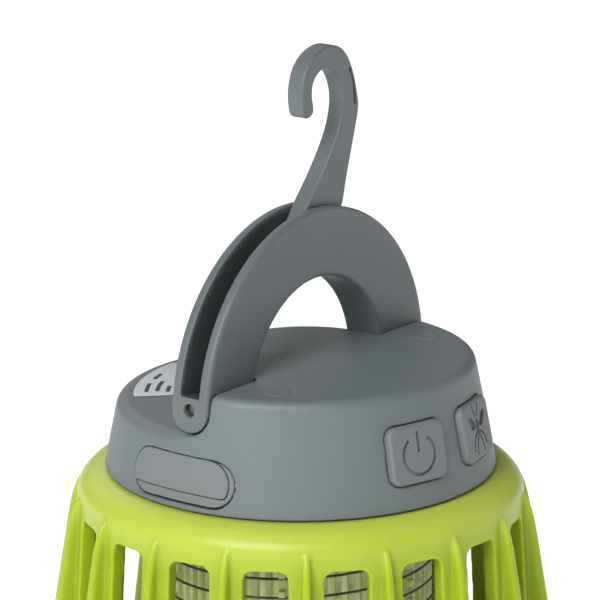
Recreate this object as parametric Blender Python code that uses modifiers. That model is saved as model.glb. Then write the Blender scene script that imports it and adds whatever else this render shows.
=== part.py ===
"""Rechargeable electric bug zapper lantern with a folding carry handle and a folding hook.

The frame is metres with +Z up. The origin is on the ground at the centre of the rubber foot,
the handle's pins lie along X, and the two keys face -Y. An azimuth is counted from -Y
towards +X, so the charging port, at -90 degrees, faces -X.
"""
import math

import bmesh
import bpy
from mathutils import Matrix, Vector

# General
GAP = 0.0003
MERGE = 0.00001
ROUND_STEPS = 48
CAGE_STEPS = 72

# Levels: the joint plane between the grey cap and the green cage
JOIN = 0.096

# Cap
CAP_FOOT_RADIUS = 0.0330
CAP_TOP_RADIUS = 0.0292
CAP_HEIGHT = 0.01904
CAP_EDGE_ROUND = 0.0015
CAP_WALL = 0.0020
CAP_LEAN = math.atan2(CAP_FOOT_RADIUS - CAP_TOP_RADIUS, CAP_HEIGHT)
ISLAND_RADII = (0.0166, 0.0156)

# Handle: a half ring on two pins, turned about the X direction
PIVOT_Y = -0.0002
PIVOT_Z = JOIN + 0.01605
HANDLE_THICKNESS = 0.0075
ARCH_CENTRE_Z = JOIN + 0.0141
ARCH_OUTER = (0.0299, 0.0301)
ARCH_INNER = (0.0177, 0.0184)
SLOT_WIDTH = 0.0039
SLOT_FLOOR = 0.0013
SLOT_END_Z = JOIN + 0.0192
SLOT_RIGHT_X = 0.0112
PIN_RADIUS = 0.0008
PIN_HOLE_RADIUS = 0.0011
PIN_INNER_X = 0.0130
PIN_OUTER_X = 0.0288
RECESS_FLOOR_Z = PIVOT_Z - HANDLE_THICKNESS / 2 - 0.00035
RECESS_FRONT_Y = PIVOT_Y - HANDLE_THICKNESS / 2 - GAP

# Hook: pivots in the handle's slot
HOOK_THICKNESS = 0.0033
HOOK_PIVOT_X = 0.0013
HOOK_PIVOT_Z = JOIN + 0.0396
HOOK_ROOT_RADIUS = 0.0043
HOOK_PIN_RADIUS = 0.0010
HOOK_BORE_RADIUS = 0.0013

# Keys and charging port on the cap's wall
KEY_AZIMUTH = math.radians(15.0)
KEY_HEIGHT = JOIN + 0.0092
KEY_OPENING = (0.0116, 0.0100)
KEY_CORNER = 0.0019
KEY_PROUD = 0.0007
PORT_AZIMUTH = math.radians(-90.0)
PORT_BOTTOM = JOIN + 0.0012
PORT_TOP = JOIN + 0.0090
PORT_WIDTH = 0.0213
PORT_SHIFT = 0.0006
FLAP_BOTTOM = JOIN + 0.0031

# Cage
WINDOW_COUNT = 18
WINDOW_PITCH = 2 * math.pi / WINDOW_COUNT
WINDOW_TURN = math.radians(-0.9)
WINDOW_WIDTH = 0.0074
WINDOW_TOP = JOIN - 0.0069
WINDOW_BOTTOM = JOIN - 0.0460
WINDOW_CORNER = 0.0014
COLLAR_RADIUS = 0.0462
FIN_THICKNESS = 0.0032
FIN_TAPER = 0.6
FIN_HEAD = JOIN - 0.0036
FIN_FOOT = JOIN - 0.0488
FLANGE_INNER_RADIUS = 0.0282

# Screws that clamp the cage between the cap and the tray
POST_RADIUS = 0.0024
SCREW_CIRCLE = 0.0250
SCREW_AZIMUTHS = [math.radians(a) for a in (-120.0, -60.0, 60.0, 120.0)]

# Electrodes and ultraviolet lamp
COIL_RADIUS = 0.0233
COIL_PITCH = 0.0066
COIL_TURNS = 5.5
COIL_TOP = JOIN - 0.0086
WIRE_RADIUS = 0.00045
GRID_SLAT_COUNT = 60
GRID_RING_OUTER = 0.0224
GRID_RING_INNER = 0.0211

# Lantern base, held in the cage by a bayonet
BASE_TOP = JOIN - 0.0538
SPIGOT_TOP = JOIN - 0.0498
SPIGOT_RADIUS = 0.0429
GROOVE_RADIUS = 0.0418
GROOVE_LOW = JOIN - 0.0530
GROOVE_HIGH = JOIN - 0.0512
LUG_COUNT = 3
LUG_WIDTH = 0.0040
TWIST = math.radians(25.0)
LED_COUNT = 6
LED_CIRCLE = 0.0220


def clear_scene():
    for obj in list(bpy.data.objects):
        bpy.data.objects.remove(obj, do_unlink=True)


def new_collection(name):
    collection = bpy.data.collections.new(name)
    bpy.context.scene.collection.children.link(collection)
    return collection


def new_material(name, colour, roughness, metallic=0.0, alpha=1.0):
    mat = bpy.data.materials.new(name)
    mat.use_nodes = True
    shader = mat.node_tree.nodes["Principled BSDF"]
    shader.inputs["Base Color"].default_value = (*colour, 1.0)
    shader.inputs["Roughness"].default_value = roughness
    shader.inputs["Metallic"].default_value = metallic
    shader.inputs["Alpha"].default_value = alpha
    return mat


def add_mesh(name, mesh, mat):
    """Link a mesh as a part, or as a cutter where it has no material."""
    obj = bpy.data.objects.new(name, mesh)
    if mat is None:
        CUTTERS.objects.link(obj)
        obj.hide_render = True
        obj.display_type = "WIRE"
    else:
        PARTS.objects.link(obj)
        mesh.materials.append(mat)
    return obj


def turned(name, profile, mat=None, steps=ROUND_STEPS, ring=False):
    """Turn a profile of (radius, height) points about Z. A ring's profile is a closed loop."""
    count = len(profile)
    edges = [(i, i + 1) for i in range(count - 1)]
    if ring:
        edges.append((count - 1, 0))
    mesh = bpy.data.meshes.new(name)
    mesh.from_pydata([(radius, 0.0, height) for radius, height in profile], edges, [])
    obj = add_mesh(name, mesh, mat)
    screw = obj.modifiers.new("Turn", "SCREW")
    screw.angle = 2 * math.pi
    screw.steps = steps
    screw.render_steps = steps
    screw.use_merge_vertices = True
    screw.merge_threshold = MERGE
    return obj


def solid_from_curve(name, curve, mat, place):
    """Turn a curve into a welded mesh object and place it."""
    holder = bpy.data.objects.new(name, curve)
    bpy.context.scene.collection.objects.link(holder)
    bpy.context.view_layer.update()
    graph = bpy.context.evaluated_depsgraph_get()
    mesh = bpy.data.meshes.new_from_object(holder.evaluated_get(graph))
    bpy.data.objects.remove(holder, do_unlink=True)
    work = bmesh.new()
    work.from_mesh(mesh)
    bmesh.ops.remove_doubles(work, verts=work.verts, dist=MERGE)
    bmesh.ops.recalc_face_normals(work, faces=work.faces)
    work.to_mesh(mesh)
    work.free()
    mesh.materials.clear()
    obj = add_mesh(name, mesh, mat)
    obj.matrix_world = place
    return obj


def extruded(name, outline, depth, mat=None, place=Matrix()):
    """Extrude a flat outline of (x, y) points by depth, half to each side of its plane."""
    curve = bpy.data.curves.new(name, "CURVE")
    curve.dimensions = "2D"
    curve.fill_mode = "BOTH"
    curve.extrude = depth / 2
    spline = curve.splines.new("POLY")
    spline.points.add(len(outline) - 1)
    for point, (x, y) in zip(spline.points, outline):
        point.co = (x, y, 0.0, 1.0)
    spline.use_cyclic_u = True
    return solid_from_curve(name, curve, mat, place)


def wire(name, points, radius, mat, resolution=0):
    """A round wire through the points, with closed ends."""
    curve = bpy.data.curves.new(name, "CURVE")
    curve.dimensions = "3D"
    curve.bevel_depth = radius
    curve.bevel_resolution = resolution
    curve.use_fill_caps = True
    spline = curve.splines.new("POLY")
    spline.points.add(len(points) - 1)
    for point, co in zip(spline.points, points):
        point.co = (*co, 1.0)
    return solid_from_curve(name, curve, mat, Matrix())


def box(name, size, place, mat=None):
    """A box of the given size about the origin of its place."""
    work = bmesh.new()
    bmesh.ops.create_cube(work, size=1.0, matrix=Matrix.Diagonal((*size, 1.0)))
    mesh = bpy.data.meshes.new(name)
    work.to_mesh(mesh)
    work.free()
    obj = add_mesh(name, mesh, mat)
    obj.matrix_world = place
    return obj


def rod(name, radius, length, place, mat=None, segments=16):
    """A cylinder along the local Z of its place, centred on it."""
    work = bmesh.new()
    bmesh.ops.create_cone(work, cap_ends=True, segments=segments, radius1=radius, radius2=radius, depth=length)
    mesh = bpy.data.meshes.new(name)
    work.to_mesh(mesh)
    work.free()
    obj = add_mesh(name, mesh, mat)
    obj.matrix_world = place
    return obj


def merged(name, pieces, mat=None):
    """Collect several closed solids as one mesh, with their places applied."""
    work = bmesh.new()
    graph = bpy.context.evaluated_depsgraph_get()
    graph.update()
    for piece in pieces:
        part = bpy.data.meshes.new_from_object(piece.evaluated_get(graph))
        part.transform(piece.matrix_world)
        work.from_mesh(part)
        bpy.data.meshes.remove(part)
    for piece in pieces:
        bpy.data.objects.remove(piece, do_unlink=True)
    mesh = bpy.data.meshes.new(name)
    work.to_mesh(mesh)
    work.free()
    mesh.materials.clear()
    return add_mesh(name, mesh, mat)


def combine(obj, other, operation):
    """Add an exact Boolean modifier."""
    modifier = obj.modifiers.new(operation.title(), "BOOLEAN")
    modifier.operation = operation
    modifier.solver = "EXACT"
    modifier.object = other


def cut(obj, other):
    combine(obj, other, "DIFFERENCE")


def join(obj, other):
    combine(obj, other, "UNION")


def set_origin(obj, point):
    """Move an object's origin to a point and leave its shape where it is."""
    shift = Matrix.Translation(Vector(point) - obj.matrix_world.translation)
    local = obj.matrix_world.inverted() @ shift @ obj.matrix_world
    obj.data.transform(local.inverted())
    obj.matrix_world = shift @ obj.matrix_world


def at(x, y, z):
    """A placement that only moves."""
    return Matrix.Translation((x, y, z))


def frame_matrix(x_axis, y_axis, z_axis, origin):
    """A placement whose local axes are the three given directions."""
    place = Matrix((x_axis, y_axis, z_axis)).transposed().to_4x4()
    place.translation = Vector(origin)
    return place


def front_plane(y):
    """Local x and y are world X and Z, and local z points to -Y."""
    return frame_matrix((1, 0, 0), (0, 0, 1), (0, -1, 0), (0, y, 0))


def side_plane():
    """Local x and y are world Y and Z, and local z points to +X."""
    return frame_matrix((0, 1, 0), (0, 0, 1), (1, 0, 0), (0, 0, 0))


def outward(azimuth):
    return Vector((math.sin(azimuth), -math.cos(azimuth), 0.0))


def sideways(azimuth):
    return Vector((math.cos(azimuth), math.sin(azimuth), 0.0))


def facing(azimuth, radius, height, lean=0.0):
    """Local x runs round the part, y up its wall and z out of it, leaning back by lean."""
    out = outward(azimuth)
    up = Vector((0.0, 0.0, 1.0))
    normal = out * math.cos(lean) + up * math.sin(lean)
    rise = up * math.cos(lean) - out * math.sin(lean)
    return frame_matrix(sideways(azimuth), rise, normal, out * radius + up * height)


def radial_plane(azimuth):
    """Local x points outwards and local y up, so an outline is a section through the axis."""
    return frame_matrix(outward(azimuth), (0, 0, 1), -sideways(azimuth), (0, 0, 0))


def arc(centre, radius, start, end, count):
    """Points from one angle to another, in degrees; radius is a number or a pair for an ellipse."""
    wide, tall = radius if isinstance(radius, tuple) else (radius, radius)
    points = []
    for i in range(count + 1):
        angle = math.radians(start + (end - start) * i / count)
        points.append((centre[0] + wide * math.cos(angle), centre[1] + tall * math.sin(angle)))
    return points


def rounded_rectangle(width, height, corner, count=3):
    """A rectangle about the origin with round corners."""
    x = width / 2 - corner
    y = height / 2 - corner
    points = []
    for i, centre in enumerate([(x, y), (-x, y), (-x, -y), (x, -y)]):
        points += arc(centre, corner, 90 * i, 90 * i + 90, count)
    return points


def cap_wall_radius(height):
    """Outer radius of the cap's wall at a world height."""
    return CAP_FOOT_RADIUS + (CAP_TOP_RADIUS - CAP_FOOT_RADIUS) * (height - JOIN) / CAP_HEIGHT


# Cap module ---------------------------------------------------------------------------------


def cap_outline(inset, bottom, top, edge):
    """Profile of the cap's solid of revolution, moved inwards by inset."""
    foot = cap_wall_radius(bottom) - inset
    head = cap_wall_radius(top) - inset
    turn = 90.0 - math.degrees(CAP_LEAN)
    reach = edge * math.tan(math.radians(turn / 2))
    centre = (head - reach, top - edge)
    return [(0.0, top)] + arc(centre, edge, 90.0, 90.0 - turn, 4) + [(foot, bottom), (0.0, bottom)]


def recess_solid(name, grow):
    """The room for the folded handle, grown by a wall thickness for the cap's inner side."""
    floor = RECESS_FLOOR_Z - grow
    front = RECESS_FRONT_Y - grow
    radius = PIVOT_Y - front
    top = JOIN + 0.03
    back = 0.04
    section = [(back, floor), (back, top), (front, top)]
    section += arc((PIVOT_Y, floor + radius), radius, 180.0, 270.0, 6)
    solid = extruded(name, section, 0.08, None, side_plane())
    inner = (ISLAND_RADII[0] - grow, ISLAND_RADII[1] - grow)
    island = arc((0.0, 0.0), inner, 0.0, 180.0, 24)
    island += [(-inner[0], front - 0.002), (inner[0], front - 0.002)]
    keep = extruded(name + "_island", island, 0.06, None, at(0, 0, JOIN + 0.02))
    cut(solid, keep)
    return solid


def pill(low, high, width, count=6):
    """Closed pill outline between two heights of the port's local plane."""
    radius = (high - low) / 2
    reach = width / 2 - radius
    middle = (low + high) / 2
    points = arc((reach, middle), radius, -90.0, 90.0, count)
    points += arc((-reach, middle), radius, 90.0, 270.0, count)
    return points


def port_place(depth=0.0):
    """Placement at the middle of the charging port, depth out of the cap's wall."""
    height = (PORT_BOTTOM + PORT_TOP) / 2
    return facing(PORT_AZIMUTH, cap_wall_radius(height), height, CAP_LEAN) @ at(-PORT_SHIFT, 0, depth)


def port_levels():
    """Bottom, flap bottom and top of the port, along the wall from its middle."""
    middle = (PORT_BOTTOM + PORT_TOP) / 2
    slope = math.cos(CAP_LEAN)
    return [(level - middle) / slope for level in (PORT_BOTTOM, FLAP_BOTTOM, PORT_TOP)]


def key_place(azimuth):
    return facing(azimuth, cap_wall_radius(KEY_HEIGHT), KEY_HEIGHT, CAP_LEAN)


def screw_posts():
    """Hollow posts inside the cap that take the tray's screws."""
    posts = []
    bottom = JOIN - 0.0023
    for i, azimuth in enumerate(SCREW_AZIMUTHS):
        front = math.cos(azimuth) > 0
        top = JOIN + (CAP_HEIGHT - 0.001 if front else 0.0110)
        centre = outward(azimuth) * SCREW_CIRCLE
        place = at(centre.x, centre.y, (top + bottom) / 2)
        posts.append(rod(f"post_{i}", POST_RADIUS, top - bottom, place, None, 12))
    return merged("cap_posts", posts)


def screw_bores(name, low, high, radius):
    bores = []
    for i, azimuth in enumerate(SCREW_AZIMUTHS):
        centre = outward(azimuth) * SCREW_CIRCLE
        place = at(centre.x, centre.y, (low + high) / 2)
        bores.append(rod(f"{name}_{i}", radius, high - low, place, None, 12))
    return merged(name, bores)


def build_cap():
    bottom = JOIN + 0.0002
    cap = turned("top_cap", cap_outline(0.0, bottom, JOIN + CAP_HEIGHT, CAP_EDGE_ROUND), GREY, 64)
    cut(cap, recess_solid("recess", 0.0))
    room = turned("cap_room", cap_outline(CAP_WALL, JOIN - 0.004, JOIN + CAP_HEIGHT - CAP_WALL, 0.0008), None, 64)
    cut(room, recess_solid("recess_inside", CAP_WALL - 0.0002))
    cut(cap, room)
    join(cap, screw_posts())
    cut(cap, screw_bores("post_bores", JOIN - 0.004, JOIN + 0.0070, 0.0013))
    for side in (-1, 1):
        opening = rounded_rectangle(*KEY_OPENING, KEY_CORNER)
        cut(cap, extruded(f"key_opening_{side}", opening, 0.010, None, key_place(side * KEY_AZIMUTH)))
    low, _, high = port_levels()
    cut(cap, extruded("port_opening", pill(low, high, PORT_WIDTH), 0.008, None, port_place()))
    bore_place = Matrix.Rotation(math.pi / 2, 4, "Y")
    bore_place.translation = (0, PIVOT_Y, PIVOT_Z)
    cut(cap, rod("handle_pin_bore", PIN_HOLE_RADIUS, 0.036, bore_place, None, 16))


def build_label():
    """A blank rating label on the recess floor, cut as a part of a ring."""
    outline = arc((0, 0), 0.0280, 86.0, 135.0, 12) + arc((0, 0), 0.0188, 135.0, 86.0, 10)
    extruded("spec_label", outline, 0.0002, LABEL, at(0, 0, RECESS_FLOOR_Z + 0.00015))


def build_key(name, azimuth):
    """A key with a retaining flange and a stub that meets its switch."""
    place = key_place(azimuth)
    size = [length - 2 * GAP for length in KEY_OPENING]
    flange_face = -0.0033
    stub_end = -0.0050
    face_depth = KEY_PROUD - flange_face
    middle = (KEY_PROUD + flange_face) / 2
    face = rounded_rectangle(*size, KEY_CORNER - GAP)
    key = extruded(name, face, face_depth, KEYS, place @ at(0, 0, middle))
    flange = rounded_rectangle(0.0134, 0.0114, KEY_CORNER)
    join(key, extruded(name + "_flange", flange, 0.0009, None, place @ at(0, 0, flange_face - 0.0003)))
    join(key, rod(name + "_stub", 0.0015, 0.0025, place @ at(0, 0, stub_end + 0.00125), None, 12))


def build_switch(name, azimuth):
    """A side-pressed switch that stands on the board behind its key."""
    body = box(name, (0.0068, 0.0076, 0.0030), facing(azimuth, 0.0232, JOIN + 0.0081), BLACK)
    join(body, rod(name + "_plunger", 0.0016, 0.0012, facing(azimuth, 0.0248, JOIN + 0.0081), None, 12))


def wall_layer(name, outer, inner, mat=None):
    """A ring of the cap's cone, between two depths under its wall, that spans the port."""
    low = PORT_BOTTOM - 0.002
    high = PORT_TOP + 0.002
    profile = [(cap_wall_radius(high) - outer, high), (cap_wall_radius(low) - outer, low),
               (cap_wall_radius(low) - inner, low), (cap_wall_radius(high) - inner, high)]
    return turned(name, profile, mat, 96, ring=True)


def build_port():
    """The recessed port plate, and the soft flap that covers all but its lower ledge."""
    low, flap_low, high = port_levels()
    shape = pill(low + GAP, high - GAP, PORT_WIDTH - 2 * GAP)
    plate = wall_layer("usb_bezel", 0.0016, 0.0028, GREY)
    combine(plate, extruded("plate_shape", shape, 0.02, None, port_place()), "INTERSECT")
    slot = rounded_rectangle(0.0084, 0.0034, 0.0010)
    cut(plate, extruded("usb_slot", slot, 0.004, None, port_place(-0.0024)))
    cover = extruded("flap_shape", shape, 0.02, None, port_place())
    cut(cover, box("flap_trim", (0.03, 0.01, 0.03), port_place() @ at(0, flap_low - 0.005, 0)))
    layer = wall_layer("flap_layer", 0.0001, 0.0012)
    combine(layer, cover, "INTERSECT")
    flap = merged("usb_flap", [layer], SOFT_GREY)
    hinge = port_place() @ Vector((0.0, high, 0.0))
    set_origin(flap, hinge)
    socket_place = facing(PORT_AZIMUTH, 0.0250, JOIN + 0.00575) @ at(-PORT_SHIFT, 0, 0)
    box("usb_socket", (0.0076, 0.0028, 0.0056), socket_place, STEEL)


def build_electronics():
    board = [(0.0, JOIN + 0.0040), (0.0272, JOIN + 0.0040), (0.0272, JOIN + 0.0024), (0.0, JOIN + 0.0024)]
    circuit = turned("main_board", board, BOARD, 36)
    cut(circuit, screw_bores("board_holes", JOIN, JOIN + 0.006, POST_RADIUS + GAP))
    box("battery_cell", (0.0250, 0.0240, 0.0095), at(0, -0.0075, JOIN + 0.0094), CELL)
    box("hv_transformer", (0.0100, 0.0100, 0.0054), at(-0.008, -0.010, JOIN - 0.0008), BLACK)
    lying = Matrix.Rotation(math.pi / 2, 4, "X")
    rod("hv_capacitor", 0.0026, 0.0110, at(0.009, 0.008, JOIN - 0.0009) @ lying, CELL)


# Handle and hook ----------------------------------------------------------------------------


def build_handle():
    """The half ring, rounded below its pins, with the hook's slot and the three bores."""
    low = PIVOT_Z - 0.006
    outline = [(ARCH_OUTER[0], low)] + arc((0, ARCH_CENTRE_Z), ARCH_OUTER, 0.0, 180.0, 40)
    outline += [(-ARCH_OUTER[0], low), (-ARCH_INNER[0], low)]
    outline += arc((0, ARCH_CENTRE_Z), ARCH_INNER, 180.0, 0.0, 32) + [(ARCH_INNER[0], low)]
    handle = extruded("handle", outline, HANDLE_THICKNESS + 0.002, GREY, front_plane(PIVOT_Y))
    half = HANDLE_THICKNESS / 2
    section = arc((PIVOT_Y, PIVOT_Z), half, 180.0, 360.0, 12)
    section += [(PIVOT_Y + half, JOIN + 0.05), (PIVOT_Y - half, JOIN + 0.05)]
    combine(handle, extruded("handle_section", section, 0.08, None, side_plane()), "INTERSECT")
    floor = (ARCH_INNER[0] + SLOT_FLOOR, ARCH_INNER[1] + SLOT_FLOOR)
    start = math.degrees(math.acos(SLOT_RIGHT_X / floor[0]))
    end = 180.0 - math.degrees(math.asin((SLOT_END_Z - ARCH_CENTRE_Z) / floor[1]))
    slot = arc((0, ARCH_CENTRE_Z), floor, start, end, 20)
    slot += [(-0.034, SLOT_END_Z), (-0.034, JOIN + 0.05), (SLOT_RIGHT_X, JOIN + 0.05)]
    cut(handle, extruded("hook_slot", slot, SLOT_WIDTH, None, front_plane(PIVOT_Y)))
    for side in (-1, 1):
        place = at(side * 0.024, PIVOT_Y, PIVOT_Z) @ Matrix.Rotation(math.pi / 2, 4, "Y")
        cut(handle, rod(f"leg_bore_{side}", PIN_HOLE_RADIUS, 0.016, place))
    place = at(HOOK_PIVOT_X, PIVOT_Y, HOOK_PIVOT_Z) @ Matrix.Rotation(math.pi / 2, 4, "X")
    cut(handle, rod("hook_pin_bore", HOOK_BORE_RADIUS, HANDLE_THICKNESS - 0.0014, place))
    set_origin(handle, (0, PIVOT_Y, PIVOT_Z))


def build_handle_pins():
    length = PIN_OUTER_X - PIN_INNER_X
    for name, side in (("handle_pin_left", -1), ("handle_pin_right", 1)):
        middle = side * (PIN_OUTER_X + PIN_INNER_X) / 2
        place = at(middle, PIVOT_Y, PIVOT_Z) @ Matrix.Rotation(math.pi / 2, 4, "Y")
        rod(name, PIN_RADIUS, length, place, BRASS)


def hook_outline():
    """The hook standing up: a round root in the slot, a tapering shank and an open curl."""
    def up(points):
        return [(x, JOIN + z) for x, z in points]

    back = [(0.0096, 0.0432), (0.0112, 0.0492), (0.0131, 0.0553)]
    crown = [(0.0140, 0.0590), (0.0135, 0.0621), (0.0125, 0.0653), (0.0112, 0.0678), (0.0093, 0.0697),
             (0.0068, 0.0706), (0.0042, 0.0704), (0.0016, 0.0693), (-0.0003, 0.0674), (-0.0012, 0.0652)]
    tip = [(-0.0015, 0.0628), (-0.0010, 0.0600), (0.0002, 0.0593), (0.0014, 0.0598), (0.0017, 0.0608)]
    curl = [(0.0013, 0.0632), (0.0018, 0.0652), (0.0036, 0.0667), (0.0059, 0.0668), (0.0079, 0.0655),
            (0.0092, 0.0633), (0.0097, 0.0608)]
    shank = [(0.0093, 0.0580), (0.0081, 0.0551), (0.0058, 0.0516), (0.0030, 0.0481), (0.0002, 0.0450),
             (-0.0018, 0.0424)]
    root = arc((HOOK_PIVOT_X, HOOK_PIVOT_Z - JOIN), HOOK_ROOT_RADIUS, 170.0, 330.0, 12)
    return up(back + crown + tip + curl + shank + root)


def build_hook():
    hook = extruded("hook", hook_outline(), HOOK_THICKNESS, GREY, front_plane(PIVOT_Y))
    place = at(HOOK_PIVOT_X, PIVOT_Y, HOOK_PIVOT_Z) @ Matrix.Rotation(math.pi / 2, 4, "X")
    cut(hook, rod("hook_bore", HOOK_BORE_RADIUS, 0.006, place))
    set_origin(hook, (HOOK_PIVOT_X, PIVOT_Y, HOOK_PIVOT_Z))
    rod("hook_pin", HOOK_PIN_RADIUS, HANDLE_THICKNESS - 0.0014 - 2 * GAP, place, BRASS)


# Cage, tray, electrodes and lamp --------------------------------------------------------------


def above(points):
    """Shift (radius, height above the joint plane) points to world heights."""
    return [(radius, JOIN + height) for radius, height in points]


def lug_azimuth(index):
    return 2 * math.pi * index / LUG_COUNT + math.radians(30.0)


def tapered(fin):
    """Thin a fin from its full thickness at the foot towards its head."""
    for vertex in fin.data.vertices:
        vertex.co.z *= 1.0 - FIN_TAPER * (vertex.co.y - FIN_FOOT) / (FIN_HEAD - FIN_FOOT)
    return fin


def build_cage():
    """A flared shell with windows, and fins that stand out further towards the bottom."""
    outside = [(FLANGE_INNER_RADIUS, -0.0001), (0.0334, -0.0001), (0.0352, -0.0008), (0.0366, -0.0020),
               (0.0373, -0.0036), (0.0404, -0.0462), (0.0458, -0.0478), (COLLAR_RADIUS, -0.0488),
               (COLLAR_RADIUS, -0.0535)]
    inside = [(0.0432, -0.0535), (0.0432, -0.0496), (0.0382, -0.0468), (0.0352, -0.0045), (0.0335, -0.0023),
              (FLANGE_INNER_RADIUS, -0.0023)]
    cage = turned("cage", above(outside + inside), LIME, CAGE_STEPS, ring=True)
    height = WINDOW_TOP - WINDOW_BOTTOM
    hole = rounded_rectangle(WINDOW_WIDTH, height, WINDOW_CORNER, 2)
    windows = []
    fins = []
    section = above([(0.0362, -0.0050), (0.0368, -0.0036), (0.0381, -0.0051), (0.0391, -0.0082), (0.0460, -0.0474),
                     (0.0456, -0.0488), (0.0392, -0.04675)])
    for i in range(WINDOW_COUNT):
        place = facing(i * WINDOW_PITCH + WINDOW_TURN, 0.037, (WINDOW_TOP + WINDOW_BOTTOM) / 2)
        windows.append(extruded(f"window_{i}", hole, 0.014, None, place))
        place = radial_plane((i + 0.5) * WINDOW_PITCH + WINDOW_TURN)
        fins.append(tapered(extruded(f"fin_{i}", section, FIN_THICKNESS, None, place)))
    cut(cage, merged("windows", windows))
    join(cage, merged("fins", fins))
    lugs = []
    lug_depth = 0.0018
    for i in range(LUG_COUNT):
        radius = GROOVE_RADIUS + GAP + lug_depth / 2
        place = facing(lug_azimuth(i), radius, (GROOVE_LOW + GROOVE_HIGH) / 2)
        height = GROOVE_HIGH - GROOVE_LOW - 2 * GAP
        lugs.append(box(f"lug_{i}", (LUG_WIDTH, height, lug_depth), place))
    join(cage, merged("lugs", lugs))


def build_tray():
    """The carrier under the electronics, with a raised rim under the cage's flange."""
    profile = [(0.0, -0.0040), (0.0288, -0.0040), (0.0288, -0.0026), (0.0306, -0.0026), (0.0306, -0.0056),
               (0.0, -0.0056)]
    tray = turned("core_tray", above(profile), BLACK)
    cut(tray, screw_bores("tray_holes", JOIN - 0.008, JOIN, 0.0013))
    for i, azimuth in enumerate(SCREW_AZIMUTHS):
        centre = outward(azimuth) * SCREW_CIRCLE
        shank_low = JOIN - 0.0065
        shank_high = JOIN + 0.0060
        place = at(centre.x, centre.y, (shank_low + shank_high) / 2)
        screw = rod(f"tray_screw_{i + 1}", 0.0010, shank_high - shank_low, place, STEEL, 12)
        join(screw, rod(f"screw_head_{i}", 0.0022, 0.0014, at(centre.x, centre.y, JOIN - 0.0066), None, 12))


def helix(start_angle):
    """Points down a coil, with its top at the tray's side."""
    points = []
    per_turn = 24
    for i in range(int(COIL_TURNS * per_turn) + 1):
        turn = i / per_turn
        angle = start_angle - 2 * math.pi * turn
        centre = outward(angle) * COIL_RADIUS
        points.append((centre.x, centre.y, COIL_TOP - COIL_PITCH * turn))
    return points


def build_grid():
    """Two coils of bare wire, one between the turns of the other, round a slatted insulating frame."""
    wire("electrode_live", helix(0.0), WIRE_RADIUS, STEEL)
    wire("electrode_return", helix(math.pi), WIRE_RADIUS, STEEL)
    top = above([(GRID_RING_OUTER, -0.0059), (GRID_RING_OUTER, -0.0074), (GRID_RING_INNER, -0.0074),
                 (GRID_RING_INNER, -0.0059)])
    frame = turned("grid_frame", top, OLIVE, 36, ring=True)
    bottom = above([(0.0, -0.0462), (GRID_RING_OUTER, -0.0462), (GRID_RING_OUTER, -0.0478), (0.0, -0.0478)])
    join(frame, turned("grid_foot", bottom, None, 36))
    slats = []
    for i in range(GRID_SLAT_COUNT):
        place = facing(2 * math.pi * i / GRID_SLAT_COUNT, 0.0217, JOIN - 0.0268)
        slats.append(box(f"grid_slat_{i}", (0.0009, 0.0404, 0.0010), place))
    join(frame, merged("grid_slats", slats))


def build_lamp():
    """The ultraviolet lamp: a twelve-sided core that carries the diodes, in a clear tube."""
    core = above([(0.0, -0.0062), (0.0120, -0.0062), (0.0120, -0.0459), (0.0, -0.0459)])
    turned("uv_core", core, WHITE, 12)
    tube = above([(0.0188, -0.0062), (0.0188, -0.0456), (0.0178, -0.0456), (0.0178, -0.0062)])
    turned("uv_tube", tube, CLEAR, 36, ring=True)


# Lantern base ---------------------------------------------------------------------------------


def ring_piece(name, azimuths, low, high):
    """A cutter for a part of the spigot's outer groove between two azimuths."""
    start, end = [math.degrees(azimuth) - 90.0 for azimuth in azimuths]
    outline = arc((0, 0), SPIGOT_RADIUS + 0.002, start, end, 6) + arc((0, 0), GROOVE_RADIUS, end, start, 6)
    return extruded(name, outline, high - low, None, at(0, 0, (low + high) / 2))


def build_base_tray():
    """The dish that catches insects, with a spigot whose grooves take the cage's lugs."""
    profile = [(0.0, 0.0405), (0.0404, 0.0405), (0.0404, SPIGOT_TOP), (SPIGOT_RADIUS, SPIGOT_TOP),
               (SPIGOT_RADIUS, BASE_TOP), (COLLAR_RADIUS, BASE_TOP), (COLLAR_RADIUS, 0.0400), (0.0450, 0.0365),
               (0.0415, 0.0365), (0.0415, 0.0385), (0.0, 0.0385)]
    tray = turned("base_tray", profile, GREY, CAGE_STEPS)
    half_lug = (LUG_WIDTH / 2 + 2 * GAP) / GROOVE_RADIUS
    grooves = []
    entries = []
    for i in range(LUG_COUNT):
        locked = lug_azimuth(i)
        free = locked - TWIST
        grooves.append(ring_piece(f"groove_{i}", (free - half_lug, locked + half_lug), GROOVE_LOW, GROOVE_HIGH))
        entries.append(ring_piece(f"entry_{i}", (free - half_lug, free + half_lug), GROOVE_LOW + GAP, JOIN - 0.04))
    cut(tray, merged("grooves", grooves))
    cut(tray, merged("entries", entries))


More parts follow.
